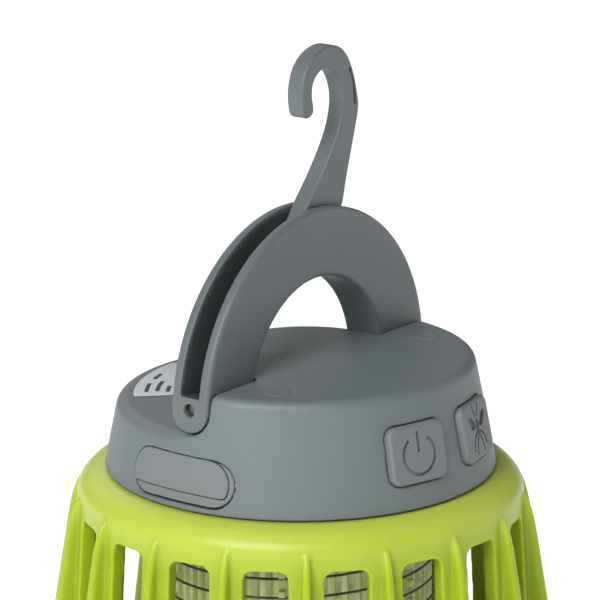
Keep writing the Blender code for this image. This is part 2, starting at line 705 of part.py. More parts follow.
def build_base():
    outside = [(0.0412, 0.0382), (0.0410, 0.0300), (0.0392, 0.0205), (0.0350, 0.0118), (0.0285, 0.0056)]
    inside = [(0.0270, 0.0070), (0.0334, 0.0130), (0.0373, 0.0212), (0.0390, 0.0302), (0.0392, 0.0382)]
    turned("diffuser", outside + inside, FROSTED, ring=True)
    board = [(0.0, 0.0378), (0.0340, 0.0378), (0.0340, 0.0362), (0.0, 0.0362)]
    turned("lamp_board", board, WHITE, 36)
    for i in range(LED_COUNT):
        place = facing(2 * math.pi * i / LED_COUNT, LED_CIRCLE, 0.0353)
        box(f"lamp_led_{i + 1}", (0.0050, 0.0012, 0.0050), place, LED)
    cap = [(0.0, 0.0085), (0.0255, 0.0085), (0.0255, 0.0053), (0.0288, 0.0053), (0.0288, 0.0038),
           (0.0268, 0.0014), (0.0233, 0.0014), (0.0233, 0.0022), (0.0167, 0.0022), (0.0167, 0.0014),
           (0.0, 0.0014)]
    turned("bottom_cap", cap, GREY)
    foot = [(0.0230, 0.0019), (0.0230, 0.0), (0.0170, 0.0), (0.0170, 0.0019)]
    turned("rubber_foot", foot, RUBBER, ring=True)


def build_contacts():
    """Two spring pins under the grid frame and the two rings that they rub on."""
    for name, radius, azimuth in (("inner", 0.0050, 0.0), ("outer", 0.0110, math.pi)):
        centre = outward(azimuth) * radius
        rod(f"contact_pin_{name}", 0.0010, 0.0060, at(centre.x, centre.y, 0.0449), BRASS, 12)
        low = 0.0408
        high = 0.0416
        ring = [(radius + 0.0015, high), (radius + 0.0015, low), (radius - 0.0015, low), (radius - 0.0015, high)]
        turned(f"contact_ring_{name}", ring, BRASS, 24, ring=True)


clear_scene()
PARTS = new_collection("bug_zapper")
CUTTERS = new_collection("cutters")

GREY = new_material("grey_plastic", (0.20, 0.22, 0.23), 0.5)
SOFT_GREY = new_material("soft_grey", (0.20, 0.22, 0.23), 0.65)
KEYS = new_material("key_grey", (0.18, 0.20, 0.21), 0.6)
LIME = new_material("lime_plastic", (0.52, 0.68, 0.05), 0.35)
BLACK = new_material("black_plastic", (0.03, 0.03, 0.03), 0.5)
OLIVE = new_material("olive_plastic", (0.20, 0.21, 0.15), 0.5)
WHITE = new_material("white_plastic", (0.80, 0.80, 0.78), 0.5)
LABEL = new_material("label_silver", (0.62, 0.63, 0.63), 0.4)
STEEL = new_material("steel", (0.60, 0.60, 0.60), 0.3, 1.0)
BRASS = new_material("brass", (0.45, 0.36, 0.16), 0.35, 1.0)
BOARD = new_material("board_green", (0.03, 0.16, 0.06), 0.5)
CELL = new_material("cell_wrap", (0.08, 0.16, 0.42), 0.45)
CLEAR = new_material("clear_tube", (0.80, 0.85, 0.90), 0.1, 0.0, 0.35)
FROSTED = new_material("frosted", (0.90, 0.90, 0.86), 0.6)
LED = new_material("led_yellow", (0.85, 0.75, 0.25), 0.4)
RUBBER = new_material("rubber", (0.02, 0.02, 0.02), 0.8)

build_cap()
build_label()
build_key("power_key", -KEY_AZIMUTH)
build_key("zapper_key", KEY_AZIMUTH)
build_switch("power_switch", -KEY_AZIMUTH)
build_switch("zapper_switch", KEY_AZIMUTH)
build_port()
build_electronics()
build_handle()
build_handle_pins()
build_hook()
build_cage()
build_tray()
build_grid()
build_lamp()
build_base_tray()
build_base()
build_contacts()
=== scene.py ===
"""Looks of the bug zapper lantern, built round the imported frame. Metres, +Z up."""
import math

import bmesh
import bpy
from mathutils import Matrix, Vector


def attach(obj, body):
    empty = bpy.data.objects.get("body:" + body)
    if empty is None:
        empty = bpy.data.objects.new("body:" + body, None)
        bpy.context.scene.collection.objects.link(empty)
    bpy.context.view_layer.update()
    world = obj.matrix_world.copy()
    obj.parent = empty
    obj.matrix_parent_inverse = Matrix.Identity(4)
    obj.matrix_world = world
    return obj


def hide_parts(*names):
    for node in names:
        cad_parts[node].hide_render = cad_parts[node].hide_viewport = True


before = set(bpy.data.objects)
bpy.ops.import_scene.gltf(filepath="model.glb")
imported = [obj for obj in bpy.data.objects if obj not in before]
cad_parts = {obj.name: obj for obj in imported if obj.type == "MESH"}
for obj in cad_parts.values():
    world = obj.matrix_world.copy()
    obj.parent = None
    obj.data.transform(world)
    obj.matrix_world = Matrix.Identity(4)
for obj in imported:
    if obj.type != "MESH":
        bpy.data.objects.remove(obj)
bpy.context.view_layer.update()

COARSE = 1.0

# Sizes shared with the solids
JOIN = 0.096
GAP = 0.0003
CAP_FOOT_RADIUS = 0.0330
CAP_TOP_RADIUS = 0.0292
CAP_HEIGHT = 0.01904
CAP_WALL = 0.0020
CAP_EDGE = 0.0017
CAP_BOTTOM = JOIN + 0.0002
CAP_LEAN = math.atan2(CAP_FOOT_RADIUS - CAP_TOP_RADIUS, CAP_HEIGHT)
ISLAND_RADII = (0.0166, 0.0156)
PIVOT_Y = -0.0002
PIVOT_Z = JOIN + 0.01605
HANDLE_THICKNESS = 0.0075
ARCH_CENTRE_Z = JOIN + 0.0141
ARCH_OUTER = (0.0299, 0.0301)
ARCH_INNER = (0.0177, 0.0184)
SLOT_WIDTH = 0.0039
SLOT_FLOOR = 0.0013
SLOT_END_Z = JOIN + 0.0192
SLOT_END_DROP = 0.0034
SLOT_RIGHT_X = 0.0112
PIN_HOLE_RADIUS = 0.0011
FLOOR_Z = PIVOT_Z - HANDLE_THICKNESS / 2 - 0.00035
RECESS_FRONT_Y = PIVOT_Y - HANDLE_THICKNESS / 2 - GAP
HOOK_PIVOT = (0.0013, JOIN + 0.0396)
HOOK_THICKNESS = 0.0033
HOOK_BORE_RADIUS = 0.0013
KEY_AZIMUTH = math.radians(15.0)
KEY_HEIGHT = JOIN + 0.0092
KEY_OPENING = (0.0116, 0.0100)
KEY_CORNER = 0.0019
KEY_GAP = 0.00012
KEY_PROUD = 0.0007
KEY_BACK = -0.0033
KEY_EDGE = 0.00058
ICON_WIDTH = 0.00056
LEG_WIDTH = 0.00040
ICON_CUT = 0.0008
ICON_FLOOR = KEY_PROUD - 0.00025
ICON_REACH = (0.0046, 0.0044)
PORT_AZIMUTH = math.radians(-90.0)
PORT_BOTTOM = JOIN + 0.0012
PORT_TOP = JOIN + 0.0090
PORT_WIDTH = 0.0213
PORT_SHIFT = 0.0006
FLAP_BOTTOM = JOIN + 0.0031
FLAP_GAP = 0.00012
FLAP_DRAWN_IN = 0.00105
WINDOW_COUNT = 18
WINDOW_PITCH = 2 * math.pi / WINDOW_COUNT
WINDOW_WIDTH = 0.0074
WINDOW_TURN = math.radians(-0.9)
WINDOW_TOP = JOIN - 0.0069
WINDOW_BOTTOM = JOIN - 0.0460
WINDOW_CORNER = 0.0015
FIN_THICKNESS = 0.0032
FIN_EDGE = 0.0010
FIN_TAPER = 0.6
FIN_HEAD = JOIN - 0.0036
FIN_FOOT = JOIN - 0.0488
LUG_COUNT = 3
COLLAR_RADIUS = 0.0462
COIL_RADIUS = 0.0233
COIL_PITCH = 0.0066
COIL_TURNS = 5.5
COIL_TOP = JOIN - 0.0086
WIRE_RADIUS = 0.00023
GRID_RING_OUTER = 0.0224
GRID_RING_INNER = 0.0211
SLAT_COUNT = 60
SLAT_RADIUS = 0.0217
SLAT_HEIGHT = 0.0404
SLAT_MIDDLE = JOIN - 0.0268
RAIL_COUNT = 6
TOOTH_ROWS = 12
TOOTH_LOW = JOIN - 0.0455
TOOTH_HIGH = JOIN - 0.0078
LAMP_SIDES = 12
CHIP_ROWS = 4

# Place of the camera in the photo, looking at the middle of the line between cap and cage
CAMERA_AZIMUTH = math.radians(52.2)
CAMERA_RISE = math.radians(17.74)
CAMERA_DISTANCE = 0.67536
CAMERA_PITCH = math.radians(2.30)
CAMERA_ROLL = math.radians(0.22)


# Small mathematics ----------------------------------------------------------------------------


def at(x, y, z):
    return Matrix.Translation((x, y, z))


def frame_matrix(x_axis, y_axis, z_axis, origin):
    place = Matrix((x_axis, y_axis, z_axis)).transposed().to_4x4()
    place.translation = Vector(origin)
    return place


def front_plane(y):
    """Local x and y are world X and Z, and local z points to -Y."""
    return frame_matrix((1, 0, 0), (0, 0, 1), (0, -1, 0), (0, y, 0))


def side_plane():
    """Local x and y are world Y and Z, and local z points to +X."""
    return frame_matrix((0, 1, 0), (0, 0, 1), (1, 0, 0), (0, 0, 0))


def outward(azimuth):
    return Vector((math.sin(azimuth), -math.cos(azimuth), 0.0))


def sideways(azimuth):
    return Vector((math.cos(azimuth), math.sin(azimuth), 0.0))


def facing(azimuth, radius, height, lean=0.0):
    """Local x runs round the part, y up its wall and z out of it."""
    out = outward(azimuth)
    up = Vector((0.0, 0.0, 1.0))
    normal = out * math.cos(lean) + up * math.sin(lean)
    rise = up * math.cos(lean) - out * math.sin(lean)
    return frame_matrix(sideways(azimuth), rise, normal, out * radius + up * height)


def radial_plane(azimuth):
    return frame_matrix(outward(azimuth), (0, 0, 1), -sideways(azimuth), (0, 0, 0))


def arc(centre, radius, start, end, count):
    wide, tall = radius if isinstance(radius, tuple) else (radius, radius)
    points = []
    for i in range(count + 1):
        angle = math.radians(start + (end - start) * i / count)
        points.append((centre[0] + wide * math.cos(angle), centre[1] + tall * math.sin(angle)))
    return points


def rounded(corners, closed=False, count=5):
    """A polyline of (x, y, size) corners, each corner eased over its size."""
    points = []
    last = len(corners) - 1
    for i, (x, y, size) in enumerate(corners):
        if size <= 0 or (not closed and i in (0, last)):
            points.append((x, y))
            continue
        here = Vector((x, y))
        before = Vector(corners[i - 1][:2]) - here
        after = Vector(corners[(i + 1) % len(corners)][:2]) - here
        start = here + before.normalized() * min(size, before.length * 0.49)
        end = here + after.normalized() * min(size, after.length * 0.49)
        for step in range(count + 1):
            t = step / count
            point = start * (1 - t) ** 2 + here * 2 * t * (1 - t) + end * t ** 2
            points.append((point.x, point.y))
    return points


def spline(points, count, closed=False):
    """A smooth line through the points."""
    total = len(points)
    spans = total if closed else total - 1
    line = []
    for i in range(spans):
        if closed:
            quad = [Vector(points[(i + k) % total]) for k in (-1, 0, 1, 2)]
        else:
            quad = [Vector(points[min(max(i + k, 0), total - 1)]) for k in (-1, 0, 1, 2)]
        a, b, c, d = quad
        for step in range(count):
            t = step / count
            point = 0.5 * (2 * b + (c - a) * t + (2 * a - 5 * b + 4 * c - d) * t ** 2
                           + (3 * b - a - 3 * c + d) * t ** 3)
            line.append(tuple(point))
    if not closed:
        line.append(tuple(points[-1]))
    return line


def rounded_rectangle(width, height, corner, count=6):
    x = width / 2 - corner
    y = height / 2 - corner
    points = []
    for i, centre in enumerate([(x, y), (-x, y), (-x, -y), (x, -y)]):
        points += arc(centre, corner, 90 * i, 90 * i + 90, count)
    return points


def pill(low, high, width):
    count = 12
    radius = (high - low) / 2
    reach = width / 2 - radius
    middle = (low + high) / 2
    right = arc((reach, middle), radius, -90, 90, count)
    return right + arc((-reach, middle), radius, 90, 270, count)


def cap_wall_radius(height):
    return CAP_FOOT_RADIUS + (CAP_TOP_RADIUS - CAP_FOOT_RADIUS) * (height - JOIN) / CAP_HEIGHT


# Mesh tools -----------------------------------------------------------------------------------


def new_object(name, mesh, place=None):
    obj = bpy.data.objects.new(name, mesh)
    bpy.context.scene.collection.objects.link(obj)
    if place is not None:
        mesh.transform(place)
    return obj


def baked(obj):
    """Apply an object's modifiers."""
    graph = bpy.context.evaluated_depsgraph_get()
    graph.update()
    mesh = bpy.data.meshes.new_from_object(obj.evaluated_get(graph))
    obj.modifiers.clear()
    obj.data = mesh
    return obj


def lathe(name, profile, steps=128, ring=False):
    """Turn a profile of (radius, height) points about Z."""
    count = len(profile)
    edges = [(i, i + 1) for i in range(count - 1)]
    if ring:
        edges.append((count - 1, 0))
    mesh = bpy.data.meshes.new(name)
    mesh.from_pydata([(radius, 0.0, height) for radius, height in profile], edges, [])
    obj = new_object(name, mesh)
    screw = obj.modifiers.new("Turn", "SCREW")
    screw.angle = 2 * math.pi
    screw.steps = steps
    screw.render_steps = steps
    screw.use_merge_vertices = True
    screw.merge_threshold = 0.000005
    baked(obj)
    work = bmesh.new()
    work.from_mesh(obj.data)
    bmesh.ops.recalc_face_normals(work, faces=work.faces)
    work.to_mesh(obj.data)
    work.free()
    return obj


def extruded(name, outline, depth, place=None, bevel=0.0):
    """Extrude a closed outline, half to each side of its plane, with rounded edges where bevelled."""
    curve = bpy.data.curves.new(name, "CURVE")
    curve.dimensions = "2D"
    curve.fill_mode = "BOTH"
    curve.extrude = depth / 2 - bevel
    curve.bevel_depth = bevel
    curve.bevel_resolution = 3
    curve.offset = -bevel
    line = curve.splines.new("POLY")
    line.points.add(len(outline) - 1)
    for point, (x, y) in zip(line.points, outline):
        point.co = (x, y, 0.0, 1.0)
    line.use_cyclic_u = True
    return from_curve(name, curve, place)


def from_curve(name, curve, place):
    holder = bpy.data.objects.new(name, curve)
    bpy.context.scene.collection.objects.link(holder)
    graph = bpy.context.evaluated_depsgraph_get()
    graph.update()
    mesh = bpy.data.meshes.new_from_object(holder.evaluated_get(graph))
    bpy.data.objects.remove(holder, do_unlink=True)
    work = bmesh.new()
    work.from_mesh(mesh)
    bmesh.ops.remove_doubles(work, verts=work.verts, dist=0.000004)
    bmesh.ops.recalc_face_normals(work, faces=work.faces)
    work.to_mesh(mesh)
    work.free()
    return new_object(name, mesh, place)


def wire(name, points, radius):
    curve = bpy.data.curves.new(name, "CURVE")
    curve.dimensions = "3D"
    curve.bevel_depth = radius
    curve.bevel_resolution = 3
    curve.use_fill_caps = True
    line = curve.splines.new("POLY")
    line.points.add(len(points) - 1)
    for point, co in zip(line.points, points):
        point.co = (*co, 1.0)
    return from_curve(name, curve, None)


def box(name, size, place, bevel=0.0):
    work = bmesh.new()
    bmesh.ops.create_cube(work, size=1.0, matrix=Matrix.Diagonal((*size, 1.0)))
    if bevel:
        bmesh.ops.bevel(work, geom=work.edges[:], offset=bevel, segments=3, profile=0.5, affect="EDGES")
    mesh = bpy.data.meshes.new(name)
    work.to_mesh(mesh)
    work.free()
    return new_object(name, mesh, place)


def rod(name, radius, length, place, segments=32):
    work = bmesh.new()
    bmesh.ops.create_cone(work, cap_ends=True, segments=segments, radius1=radius, radius2=radius,
                          depth=length)
    mesh = bpy.data.meshes.new(name)
    work.to_mesh(mesh)
    work.free()
    return new_object(name, mesh, place)


def merged(name, objects):
    """Collect several objects' meshes in one."""
    work = bmesh.new()
    for obj in objects:
        work.from_mesh(obj.data)
    for obj in objects:
        bpy.data.objects.remove(obj, do_unlink=True)
    mesh = bpy.data.meshes.new(name)
    work.to_mesh(mesh)
    work.free()
    return new_object(name, mesh)


def combine(obj, others, operation):
    """Exact Booleans with other solids, which are then removed."""
    for other in others:
        modifier = obj.modifiers.new("Combine", "BOOLEAN")
        modifier.operation = operation
        modifier.solver = "EXACT"
        modifier.object = other
    baked(obj)
    for other in others:
        bpy.data.objects.remove(other, do_unlink=True)
    return obj


def moulded(obj, voxel, rounds=3, keep=0.4):
    """Give a solid the soft edges of a moulding: fill it with small voxels, smooth and thin the mesh."""
    remesh = obj.modifiers.new("Remesh", "REMESH")
    remesh.mode = "VOXEL"
    remesh.voxel_size = voxel * COARSE
    smooth = obj.modifiers.new("Smooth", "SMOOTH")
    smooth.factor = 0.5
    smooth.iterations = max(1, round(rounds / COARSE ** 2))
    thin = obj.modifiers.new("Thin", "DECIMATE")
    thin.ratio = keep
    baked(obj)
    return shaded(obj, 180.0)


def shaded(obj, angle=35.0):
    """Shade smooth, with edges sharper than the angle kept."""
    work = bmesh.new()
    work.from_mesh(obj.data)
    limit = math.radians(angle)
    for face in work.faces:
        face.smooth = True
    for edge in work.edges:
        edge.smooth = not (edge.is_manifold and edge.calc_face_angle(0.0) > limit)
    work.to_mesh(obj.data)
    work.free()
    return obj


def finished(obj, materials, body, nodes=()):
    """Give a piece its materials and its body, and hide the parts it stands for."""
    obj.data.materials.clear()
    for material in materials if isinstance(materials, (list, tuple)) else [materials]:
        obj.data.materials.append(material)
    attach(obj, body)
    if nodes:
        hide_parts(*nodes)
    return obj


# Materials ------------------------------------------------------------------------------------


class Nodes:
    """A short way to write a node tree."""

    def __init__(self, name):
        self.material = bpy.data.materials.new(name)
        self.material.use_nodes = True
        self.tree = self.material.node_tree
        self.shader = self.tree.nodes["Principled BSDF"]
        self.coords = self.tree.nodes.new("ShaderNodeTexCoord").outputs["Object"]

    def add(self, kind, inputs=None, **settings):
        node = self.tree.nodes.new(kind)
        for key, value in settings.items():
            setattr(node, key, value)
        for key, value in (inputs or {}).items():
            self.feed(node.inputs[key], value)
        return node

    def feed(self, socket, value):
        if isinstance(value, bpy.types.NodeSocket):
            self.tree.links.new(value, socket)
        else:
            socket.default_value = value

    def set(self, **inputs):
        for key, value in inputs.items():
            self.feed(self.shader.inputs[key.replace("_", " ")], value)

    def noise(self, scale, detail=2.0, rough=0.5):
        node = self.add("ShaderNodeTexNoise", {"Vector": self.coords, "Scale": scale, "Detail": detail,
                                               "Roughness": rough})
        return node.outputs["Fac"]

    def ramp(self, value, low, high, start=0.0, end=1.0):
        node = self.add("ShaderNodeMapRange", {"Value": value, "From Min": start, "From Max": end,
                                               "To Min": low, "To Max": high})
        return node.outputs["Result"]

    def mix(self, factor, first, second):
        node = self.add("ShaderNodeMix", data_type="RGBA")
        self.feed(node.inputs["Factor"], factor)
        self.feed(node.inputs[6], first)
        self.feed(node.inputs[7], second)
        return node.outputs[2]

    def bump(self, height, strength, distance):
        node = self.add("ShaderNodeBump", {"Height": height, "Strength": strength, "Distance": distance})
        self.set(Normal=node.outputs["Normal"])


def rgb(red, green, blue):
    return (red, green, blue, 1.0)


def moulded_plastic(name, colour, rough, grain=0.35, scale=3200.0, spread=0.04):
    """Plastic with a fine sparked texture, faint flow marks and a little uneven gloss."""
    n = Nodes(name)
    cloud = n.noise(90.0, 3.0)
    fine = n.noise(scale, 3.0, 0.6)
    dark = rgb(*[c * (1.0 - spread) for c in colour])
    light = rgb(*[min(1.0, c * (1.0 + spread)) for c in colour])
    n.set(Base_Color=n.mix(cloud, dark, light), Roughness=n.ramp(fine, rough - 0.05, rough + 0.07))
    n.bump(fine, grain, 0.00006)
    return n.material


def lime_plastic():
    """Glossy, slightly translucent green plastic, painted paler towards the top as painted light on the
    shoulder, with faint mould flow.
    """
    n = Nodes("lime_moulding")
    cloud = n.noise(45.0, 2.0)
    fine = n.noise(900.0, 2.0)
    height = n.add("ShaderNodeSeparateXYZ", {"Vector": n.coords}).outputs["Z"]
    # painted light: the colour ramps paler towards the top of the cage, standing in for light falling on
    # the shoulder
    thin = n.ramp(height, 0.0, 1.0, JOIN - 0.0090, JOIN - 0.0015)
    deep = n.mix(cloud, rgb(0.33, 0.440, 0.010), rgb(0.36, 0.470, 0.014))
    pale = n.mix(cloud, rgb(0.50, 0.590, 0.070), rgb(0.53, 0.620, 0.085))
    n.set(Base_Color=n.mix(thin, deep, pale), Roughness=n.ramp(fine, 0.29, 0.38), Specular_IOR_Level=0.38,
          Subsurface_Weight=0.6, Subsurface_Scale=0.0035)
    n.shader.inputs["Subsurface Radius"].default_value = (1.0, 1.0, 0.12)
    n.bump(fine, 0.08, 0.00005)
    return n.material


def metal(name, colour, rough):
    n = Nodes(name)
    fine = n.noise(2500.0, 3.0)
    dark = rgb(*[c * 0.8 for c in colour])
    n.set(Base_Color=n.mix(n.noise(300.0), dark, rgb(*colour)), Metallic=1.0,
          Roughness=n.ramp(fine, rough - 0.06, rough + 0.1))
    n.bump(fine, 0.1, 0.00003)
    return n.material


def label_film():
    """Satin film with faint fibres and a slightly worn print."""
    n = Nodes("label_film")
    fibre = n.noise(1500.0, 3.0)
    n.set(Base_Color=n.mix(n.noise(160.0), rgb(0.56, 0.59, 0.61), rgb(0.62, 0.65, 0.67)),
          Roughness=n.ramp(fibre, 0.35, 0.5))
    n.bump(fibre, 0.08, 0.00002)
    return n.material


def frosted_plastic():
    n = Nodes("frosted_shade")
    fine = n.noise(2200.0, 3.0)
    n.set(Base_Color=n.mix(n.noise(60.0), rgb(0.82, 0.82, 0.78), rgb(0.88, 0.88, 0.85)),
          Roughness=n.ramp(fine, 0.42, 0.56), Subsurface_Weight=0.4, Subsurface_Scale=0.004)
    n.bump(fine, 0.15, 0.00005)
    return n.material


def smoked_plastic():
    """Milky smoked plastic, with a weak glow that stands for the light scattered in the tube."""
    n = Nodes("smoked_tube")
    n.set(Base_Color=n.mix(n.noise(40.0), rgb(0.84, 0.88, 0.56), rgb(0.90, 0.94, 0.62)),
          Roughness=n.ramp(n.noise(700.0), 0.10, 0.22), Transmission_Weight=0.35, IOR=1.49,
          Emission_Color=rgb(0.75, 0.80, 0.45), Emission_Strength=0.10)
    return n.material


def circuit_board():
    """Solder mask with a pattern of tracks under it."""
    n = Nodes("circuit_board")
    tracks = n.add("ShaderNodeTexBrick", {"Vector": n.coords, "Scale": 260.0, "Mortar Size": 0.03,
                                          "Color1": rgb(0.02, 0.14, 0.05), "Color2": rgb(0.03, 0.17, 0.06),
                                          "Mortar": rgb(0.08, 0.30, 0.12)})
    n.set(Base_Color=tracks.outputs["Color"], Roughness=n.ramp(n.noise(800.0), 0.3, 0.45))
    n.bump(tracks.outputs["Fac"], 0.2, 0.00003)
    return n.material


GREY = moulded_plastic("grey_moulding", (0.152, 0.178, 0.184), 0.48, 0.9, 1800.0, 0.06)
GREY_HANDLE = moulded_plastic("grey_handle", (0.128, 0.150, 0.156), 0.46, 0.6, 1800.0, 0.06)
# darker grey for the inside of the handle's hook slot: painted shade on the same grey plastic
SLOT_SHADE_GREY = moulded_plastic("grey_slot_painted_shade", (0.075, 0.088, 0.090), 0.6, 0.2)
KEY_GREY = moulded_plastic("key_rubber", (0.175, 0.190, 0.198), 0.55, 0.25)
ICON = moulded_plastic("icon_ink", (0.050, 0.054, 0.060), 0.6, 0.2)
SOFT = moulded_plastic("flap_rubber", (0.175, 0.192, 0.198), 0.58, 0.25)
LIME = lime_plastic()
BLACK = moulded_plastic("black_moulding", (0.03, 0.032, 0.033), 0.5)
OLIVE = moulded_plastic("grid_moulding", (0.78, 0.83, 0.40), 0.45)
WHITE = moulded_plastic("white_moulding", (0.75, 0.75, 0.72), 0.5, 0.2)
STEEL = metal("drawn_steel", (0.45, 0.45, 0.43), 0.25)
WIRE = metal("oxidised_wire", (0.16, 0.16, 0.145), 0.3)
BRASS = metal("brass_pin", (0.20, 0.19, 0.13), 0.35)
LABEL = label_film()
FROST = frosted_plastic()
SMOKED = smoked_plastic()
BOARD = circuit_board()
WRAP = moulded_plastic("cell_wrap", (0.07, 0.15, 0.40), 0.35, 0.1)
PHOSPHOR = moulded_plastic("led_phosphor", (0.85, 0.72, 0.22), 0.35, 0.1)
RUBBER = moulded_plastic("foot_rubber", (0.025, 0.025, 0.026), 0.75, 0.5)


# Cap ------------------------------------------------------------------------------------------


def cap_outline(inset, bottom, top, edge):
    foot = cap_wall_radius(bottom) - inset
    head = cap_wall_radius(top) - inset
    turn = 90.0 - math.degrees(CAP_LEAN)
    reach = edge * math.tan(math.radians(turn / 2))
    centre = (head - reach, top - edge)
    return [(0.0, top)] + arc(centre, edge, 90.0, 90.0 - turn, 8) + [(foot, bottom), (0.0, bottom)]


def recess_solid(name, grow):
    floor = FLOOR_Z - grow
    front = RECESS_FRONT_Y - grow
    radius = PIVOT_Y - front
    top = JOIN + 0.03
    section = [(0.04, floor), (0.04, top), (front, top)]
    section += arc((PIVOT_Y, floor + radius), radius, 180.0, 270.0, 12)
    solid = extruded(name, section, 0.08, side_plane())
    inner = (ISLAND_RADII[0] - grow, ISLAND_RADII[1] - grow)
    island = arc((0.0, 0.0), inner, 0.0, 180.0, 48)
    island += [(-inner[0], front - 0.002), (inner[0], front - 0.002)]
    return combine(solid, [extruded(name + "_island", island, 0.06, at(0, 0, JOIN + 0.02))], "DIFFERENCE")


def port_levels():
    middle = (PORT_BOTTOM + PORT_TOP) / 2
    slope = math.cos(CAP_LEAN)
    return [(level - middle) / slope for level in (PORT_BOTTOM, FLAP_BOTTOM, PORT_TOP)]


def port_place(depth=0.0):
    height = (PORT_BOTTOM + PORT_TOP) / 2
    return facing(PORT_AZIMUTH, cap_wall_radius(height), height, CAP_LEAN) @ at(-PORT_SHIFT, 0, depth)


def key_place(azimuth):
    return facing(azimuth, cap_wall_radius(KEY_HEIGHT), KEY_HEIGHT, CAP_LEAN)


def build_cap():
    """A cone with a recess for the folded handle, its rim rounded at the recess floor."""
    top = JOIN + CAP_HEIGHT
    cap = lathe("cap_shell", cap_outline(0.0, CAP_BOTTOM, top, CAP_EDGE), 160)
    combine(cap, [recess_solid("recess", 0.0)], "DIFFERENCE")
    rim = lathe("rim_keep", cap_outline(0.0, CAP_BOTTOM - 0.001, FLOOR_Z, 0.0020), 160)
    wedge = [(-0.042, JOIN - 0.02), (-0.042, JOIN + 0.04), (RECESS_FRONT_Y, JOIN + 0.04),
             (PIVOT_Y, FLOOR_Z + 0.0003), (PIVOT_Y + 0.0070, FLOOR_Z - 0.0021),
             (PIVOT_Y + 0.0070, JOIN - 0.02)]
    front = extruded("front_keep", wedge, 0.08, side_plane())
    island = rod("island_keep", 0.0200, 0.06, at(0, 0, JOIN + 0.01), 64)
    combine(rim, [front, island], "UNION")
    combine(cap, [rim], "INTERSECT")
    room = lathe("cap_room", cap_outline(CAP_WALL, JOIN - 0.004, top - CAP_WALL, 0.0008), 96)
    combine(room, [recess_solid("recess_inside", CAP_WALL - 0.0002)], "DIFFERENCE")
    cutters = [room]
    for side in (-1, 1):
        opening = rounded_rectangle(*KEY_OPENING, KEY_CORNER)
        cutters.append(extruded(f"opening_{side}", opening, 0.010, key_place(side * KEY_AZIMUTH)))
    low, _, high = port_levels()
    cutters.append(extruded("port", pill(low, high, PORT_WIDTH), 0.008, port_place()))
    turn = Matrix.Rotation(math.pi / 2, 4, "Y")
    cutters.append(rod("pin_bore", PIN_HOLE_RADIUS, 0.036, at(0, PIVOT_Y, PIVOT_Z) @ turn))
    combine(cap, cutters, "DIFFERENCE")
    moulded(cap, voxel=0.00027, rounds=3, keep=0.35)
    ejector_marks(top)
    finished(cap, GREY, "lantern", ["top_cap"])


def ejector_marks(top):
    """Two faint round ejector marks on the deck."""
    marks = []
    for side in (-1, 1):
        centre = outward(side * math.radians(61.5)) * 0.0235
        ring = [(0.0, 0.00005), (0.0012, 0.00005), (0.0018, 0.00013), (0.0021, 0.00010), (0.0023, -0.0001)]
        mark = lathe(f"mark_{side}", ring, 48)
        mark.data.transform(at(centre.x, centre.y, top))
        marks.append(mark)
    finished(shaded(merged("ejector_marks", marks), 60.0), GREY, "lantern", ())


def build_label():
    """A blank rating plate with four printed rules, on the recess floor."""
    corner = 0.0014
    outline = []
    for radius, start, end in ((0.0280, 86.0, 135.0), (0.0188, 135.0, 86.0)):
        ease = math.degrees(corner / radius) * (1 if end > start else -1)
        outline += [(p[0], p[1]) for p in arc((0, 0), radius, start + ease, end - ease, 24)]
    corners = [(x, y, 0.0006) for x, y in outline]
    place = at(0, 0, FLOOR_Z + 0.00017)
    plate = extruded("rating_label", rounded(corners, True, 2), 0.00024, place, 0.00005)
    finished(shaded(plate), LABEL, "lantern", ["spec_label"])
    rules = []
    for row, (start, end) in enumerate(((128.0, 117.0), (127.0, 113.0), (128.0, 119.0), (111.0, 104.0))):
        radius = 0.0262 - 0.0018 * (row % 3)
        line = arc((0, 0), radius, start, end, 8)
        line += arc((0, 0), radius - 0.0007, end, start, 8)
        rules.append(extruded(f"rule_{row}", line, 0.00004, at(0, 0, FLOOR_Z + 0.00030)))
    finished(merged("label_rules", rules), ICON, "lantern", ())


# Keys -----------------------------------------------------------------------------------------


def stroke(name, points, width, depth, place):
    """A groove cutter along a line, with round ends."""
    line = [Vector(p) for p in points]
    left = []
    right = []
    for i, point in enumerate(line):
        ahead = line[min(i + 1, len(line) - 1)] - line[max(i - 1, 0)]
        side = Vector((-ahead.y, ahead.x)).normalized() * width / 2
        left.append(tuple(point + side))
        right.append(tuple(point - side))
    return extruded(name, left + right[::-1], depth, place)


def power_icon(place):
    ring = arc((0, -0.0003), 0.0032, 126.0, 414.0, 40)
    return [stroke("icon_ring", ring, ICON_WIDTH, ICON_CUT, place),
            stroke("icon_bar", [(0.0, 0.0036), (0.0, 0.0002)], ICON_WIDTH, ICON_CUT, place)]


def insect_icon(place):
    """A plain insect: body, two wings, feelers and two pairs of legs."""
    place = place @ Matrix.Scale(1.18, 4)
    cuts = [extruded("icon_body", arc((0, 0.0003), (0.00055, 0.0013), 0, 345, 23), ICON_CUT, place)]
    for side in (-1, 1):
        wing = [(side * 0.0006, 0.0006), (side * 0.0016, 0.0019), (side * 0.0029, 0.0022),
                (side * 0.0030, 0.0013), (side * 0.0018, 0.0002)]
        cuts.append(extruded(f"icon_wing_{side}", spline(wing, 6, True)[::side], ICON_CUT, place))
        lines = [[(side * 0.0003, 0.0018), (side * 0.0009, 0.0031), (side * 0.0010, 0.0036)],
                 [(side * 0.0006, -0.0003), (side * 0.0017, -0.0011), (side * 0.0024, -0.0027)],
                 [(side * 0.0004, -0.0009), (side * 0.0010, -0.0022), (side * 0.0013, -0.0034)]]
        for i, line in enumerate(lines):
            cuts.append(stroke(f"icon_leg_{side}_{i}", line, LEG_WIDTH, ICON_CUT, place))
    return cuts


